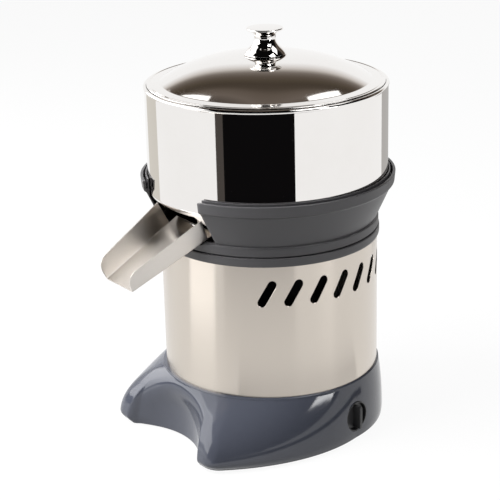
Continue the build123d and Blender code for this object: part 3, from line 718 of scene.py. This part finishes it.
# %% Reamer and cord inlet
outer = catmull_rom([(39, 268), (36.5, 275), (31, 290), (23, 306), (13, 320), (6, 326), (0, 327.6)], 10)
inner = catmull_rom([(38.5, 266.5), (31, 274), (25, 290), (17.5, 306), (9, 319), (3, 325), (0, 326)], 10)
RIB_STEP, RIB_TURN, RIB_HALF = 40, 5, 2.2
turn = np.linspace(0, 360, 361)
off_rib = np.abs((turn - RIB_TURN + RIB_STEP / 2) % RIB_STEP - RIB_STEP / 2)
reach = np.exp(-(np.radians(off_rib) * np.maximum(outer[:, :1], 4) / RIB_HALF) ** 4)
ribbed = inner[:, None] + (outer - inner)[:, None] * reach[..., None]
ribbed[-1] = outer[-1]
flank = from_front(ribbed[..., 0], turn + 90, ribbed[..., 1])
under = soft_corners([
    (0, 298, 0), (11, 298, .3), (11, 264, .2), (14.5, 264, .3), (14.5, 266.5, .3), (18.2, 266.5, .3),
    (18.2, 255, .4), (20.6, 255, .4), (20.6, 265, .6), (38.6, 265, 0),
], False)
hollow = from_front(under[:, :1], turn + 90, under[:, 1:])
place("reamer_ribbed", weld("reamer_ribbed", np.concatenate([hollow, flank])), PLAIN["white_plastic"],
      "reamer", "white_plastic", "reamer")
steps = np.arange(115.6, 125.2, 0.4)
boot = np.stack([6.4 - 0.09 * (steps - 114) - 0.35 * (1 - np.cos(steps * np.pi / 1.2)), steps], -1)
gland_path = np.vstack([
    soft_corners([
        (3.6, 97, .3), (6.5, 97, .4), (6.5, 111.4, .2), (9.5, 111.4, .4), (9.5, 114.4, .8), (6.4, 114.6, 0),
    ], False),
    boot, soft_corners([(5.4, 126, .6), (3.6, 126, .4), (3.6, 97, .3)], False)[:-2],
])
place("cord_boot", weld("cord_boot", laid_over(turned(np.vstack([gland_path, gland_path[:1]]), 72), 90, 22)),
      PLAIN["black_rubber"], "base", "black_rubber", "cord_gland")

# %% [markdown]
# What is left is inside the body: motor, wiring and fixings. Those keep their CAD meshes and get the
# finishes of the list above by the names of their material slots.

# %% Dress the CAD pieces
finished = 0
for part in frame["record"]["subparts"]:
    node = NODES[part["node"]]
    if node.hide_render or part["material_slot"] not in PLAIN:
        continue
    node.data.materials.clear()
    node.data.materials.append(PLAIN[part["material_slot"]])
    finished += 1
print("CAD pieces with a finish", finished)

# %% [markdown]
# The floor is a wide pale sheet. To the camera it is nearly pure white with the object's own shadow left in
# it, to reflections it is white, and it throws less than its full light back up onto the object. Cards
# stand round the juicer as a photographer's flags do: a black one draws the dark band in the bowl, a low
# dark one is painted shade, standing for the shaded floor in front of the base as the base reflects it, and
# grey ones draw the bowl's edges. The camera doesn't see them and they throw no shadow.


# %% Floor and cards
def stage_sheet(name, grid, material):
    """Show a grid of points in mm as part of the studio, not of the object."""
    sheet = bpy.data.meshes.new(name)
    i = np.arange(grid.shape[0] * grid.shape[1]).reshape(grid.shape[:2])
    faces = np.stack([i[:-1, :-1], i[:-1, 1:], i[1:, 1:], i[1:, :-1]], -1).reshape(-1, 4)
    sheet.from_pydata(grid.reshape(-1, 3) * MM, [], faces)
    sheet.materials.append(material)
    thing = bpy.data.objects.new(name, sheet)
    scene.collection.objects.link(thing)
    return thing


CAMERA_SHARE = 0.93
paper = bpy.data.materials.new("paper_sweep_white")
paper.use_nodes = True
tree = paper.node_tree
tree.nodes.clear()
rays = add(tree, "LightPath").outputs
shade = add(tree, "Mix", {"data_type": "RGBA"},
            _0=rays["Is Diffuse Ray"], _6=linear("#F2F2F2"), _7=linear("#8C8C8C")).outputs[2]
matt = add(tree, "BsdfDiffuse", Color=shade).outputs[0]
bright = add(tree, "Emission", Color=linear("#FFFFFF"), Strength=1.0).outputs[0]
direct = add(tree, "Math", {"operation": "MAXIMUM"},
             _0=rays["Is Camera Ray"], _1=rays["Is Transmission Ray"]).outputs[0]
share = add(tree, "Math", {"operation": "MULTIPLY_ADD"},
            _0=direct, _1=CAMERA_SHARE, _2=rays["Is Glossy Ray"]).outputs[0]
both = add(tree, "MixShader", _0=share, _1=matt, _2=bright).outputs[0]
add(tree, "OutputMaterial", Surface=both)
corners = np.array([[[-4000, -4000, 0], [4000, -4000, 0]], [[-4000, 4000, 0], [4000, 4000, 0]]], float)
stage_sheet("floor", corners, paper)


def arc_card(name, colour, start, stop, distance, low, high):
    """Upright card bent round the shaft between two angles from the camera's side. It shows one flat colour."""
    paint = bpy.data.materials.new(name)
    paint.use_nodes = True
    paint.node_tree.nodes.clear()
    glow = add(paint.node_tree, "Emission", Color=linear(colour), Strength=1.0).outputs[0]
    add(paint.node_tree, "OutputMaterial", Surface=glow)
    azimuth = np.radians(VIEW_AZIMUTH + np.linspace(start, stop, 25))
    rows = np.array([low, high])[:, None]
    grid = np.stack([distance * np.cos(azimuth) + 0 * rows, distance * np.sin(azimuth) + 0 * rows,
                     rows + 0 * azimuth], -1)
    card = stage_sheet(name, grid, paint)
    card.visible_camera = card.visible_diffuse = card.visible_shadow = False


arc_card("card_black_front", "#0D0C0D", -38, 23.5, 780, 1, 260)
arc_card("card_dusk_front", "#4A4542", -45, -38, 780, 1, 260)
# Painted shade: this low dark card stands for the shaded floor just in front of the base, as the base reflects it.
arc_card("card_floor_shade_front", "#2A292A", -28, 82, 230, 1, 13)
arc_card("card_grey_left", "#DAD6CE", -142, -116, 620, 1, 250)
arc_card("card_grey_right", "#B8B6B4", 127, 160, 620, 1, 250)
print("stage sheets placed")

# %% [markdown]
# One wide soft box at the left gives the drum its bright upright band and the base its pale ridges, and a
# small dim one stands low beside it. A high one lights only what is matt, and a second high one at the
# right fills the other side. A thin strip low at the right draws the short streak on the base. Two more
# hang high at the sides and put the short bright strips on the front of the lid's dome.


# %% Soft boxes
def soft_box(name, azimuth, elevation, distance, size, radiance, target, roll=0):
    """Area lamp that faces a height on the shaft, at an angle from the camera's side. Its power is radiance x pi
    x area, so radiance 1 looks white in a mirror."""
    lamp = bpy.data.lights.new(name, "AREA")
    lamp.shape = "RECTANGLE"
    lamp.size, lamp.size_y = size
    lamp.energy = radiance * np.pi * size[0] * size[1]
    box = bpy.data.objects.new(name, lamp)
    scene.collection.objects.link(box)
    a, e = radians(VIEW_AZIMUTH + azimuth), radians(elevation)
    away = Vector((np.cos(a) * np.cos(e), np.sin(a) * np.cos(e), np.sin(e)))
    box.location = Vector((0, 0, target)) + away * distance
    box.rotation_euler = away.to_track_quat("Z", "Y").to_euler()
    box.rotation_euler.rotate_axis("Z", radians(roll))
    box.visible_camera = False
    return box


soft_box("left_box", -100, 22, 1.2, (2.1, 0.85), 3.0, 0.2)
soft_box("low_left_box", -68, 0, 0.42, (0.225, 0.09), 0.9, 0.05)
soft_box("top_fill", -70, 52, 1.3, (0.9, 0.9), 12.0, 0.2).visible_glossy = False
soft_box("right_box", 50, 52, 1.3, (0.5, 0.5), 5.0, 0.2)
soft_box("right_low_strip", 55.5, 12, 1.2, (0.48, 0.06), 11.0, 0.05, -39)
soft_box("high_left_box", -114.3, 0, 0.94, (0.88, 0.82), 1.5, 1.43)
soft_box("high_right_box", 113.4, 0, 0.76, (0.74, 0.87), 1.5, 1.62)
